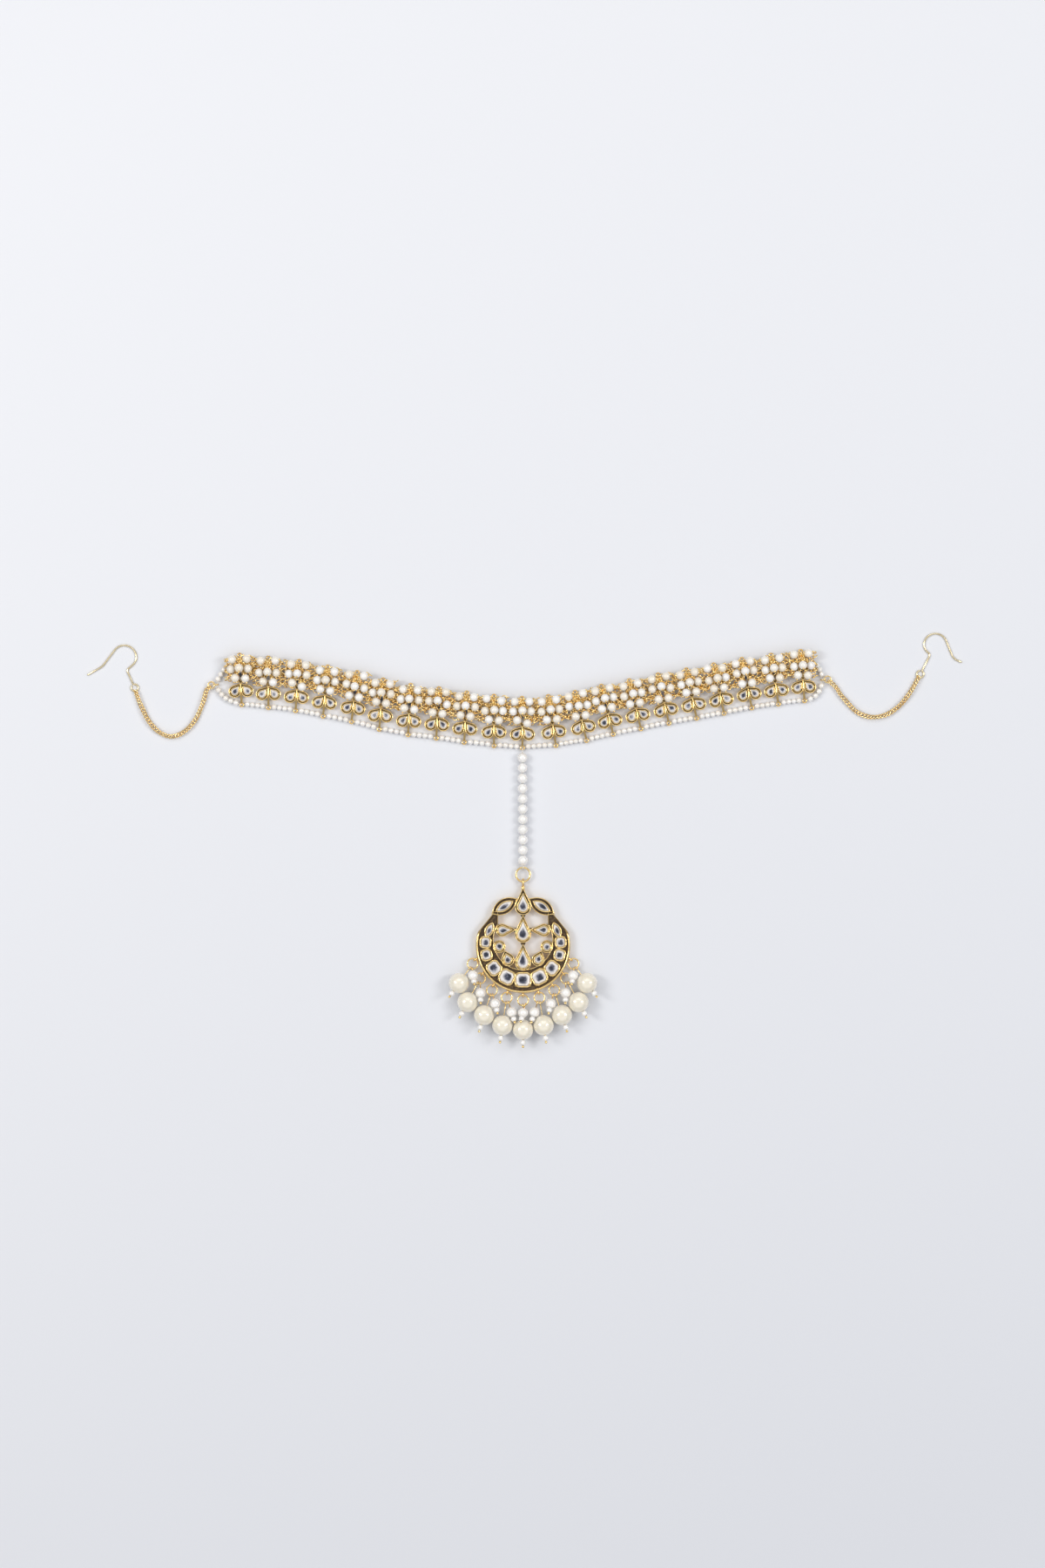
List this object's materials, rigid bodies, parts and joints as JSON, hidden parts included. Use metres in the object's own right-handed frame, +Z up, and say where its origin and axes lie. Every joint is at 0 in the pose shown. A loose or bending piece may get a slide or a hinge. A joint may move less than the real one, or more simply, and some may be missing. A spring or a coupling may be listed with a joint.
{
  "type": "matha patti head ornament",
  "caption": "Matha patti: a band of gold three-petal stone links edged with small pearls, with pearl bunches, a pearl strand, a crescent pendant with pearl drops, and chains with ear hooks.",
  "frame": {"origin": "in the plane that the ornament lies on, under the middle link, at the centre of its three petals", "axes": "+X runs along the band to the wearer's left as the picture shows it, to the right; +Y points from the pendant to the band; +Z points up, out of the face"},
  "size_m": [0.335, 0.1586, 0.0088],
  "materials": {
    "antique_gold": "cast gold-plated metal with bright worn rims and dark brown antiquing in the grooves",
    "bright_gold": "polished gold-plated wire",
    "pale_gold": "polished pale gold wire",
    "foiled_stone": "clear faceted glass with a silver foil back",
    "white_pearl": "white imitation pearl with a soft lustre",
    "bunch_pearl": "warm white imitation pearl on gold wire",
    "cream_pearl": "cream imitation pearl with a soft lustre",
    "thread": "clear white stringing thread"
  },
  "bodies": {
    "root": {"link_01": "antique_gold", "link_02": "antique_gold", "link_03": "antique_gold", "link_04": "antique_gold", "link_05": "antique_gold", "link_06": "antique_gold", "link_07": "antique_gold", "link_08": "antique_gold", "link_09": "antique_gold", "link_10": "antique_gold", "link_11": "antique_gold", "link_12": "antique_gold", "link_13": "antique_gold", "link_14": "antique_gold", "link_15": "antique_gold", "link_16": "antique_gold", "link_17": "antique_gold", "link_18": "antique_gold", "link_19": "antique_gold", "link_20": "antique_gold", "link_21": "antique_gold", "large_pearl_1": "cream_pearl", "large_pearl_2": "cream_pearl", "large_pearl_3": "cream_pearl", "large_pearl_4": "cream_pearl", "large_pearl_5": "cream_pearl", "large_pearl_6": "cream_pearl", "large_pearl_7": "cream_pearl", "large_pearl_8": "cream_pearl", "large_pearl_9": "cream_pearl", "pearl_bunches_left": "bunch_pearl", "pearl_bunches_middle": "bunch_pearl", "pearl_bunches_right": "bunch_pearl", "band_stones": "foiled_stone", "edge_string": "white_pearl", "strand_pearls": "white_pearl", "strand_thread": "thread", "strand_ring": "bright_gold", "pendant_frame": "antique_gold", "pendant_stones": "foiled_stone", "drop_rings": "bright_gold", "drop_pins": "bright_gold", "drop_seeds": "white_pearl", "small_pearls": "white_pearl", "left_end_links": "bright_gold", "right_end_links": "bright_gold", "left_chain": "bright_gold", "right_chain": "bright_gold", "left_ear_hook": "pale_gold", "right_ear_hook": "pale_gold"}
  },
  "joints": []
}
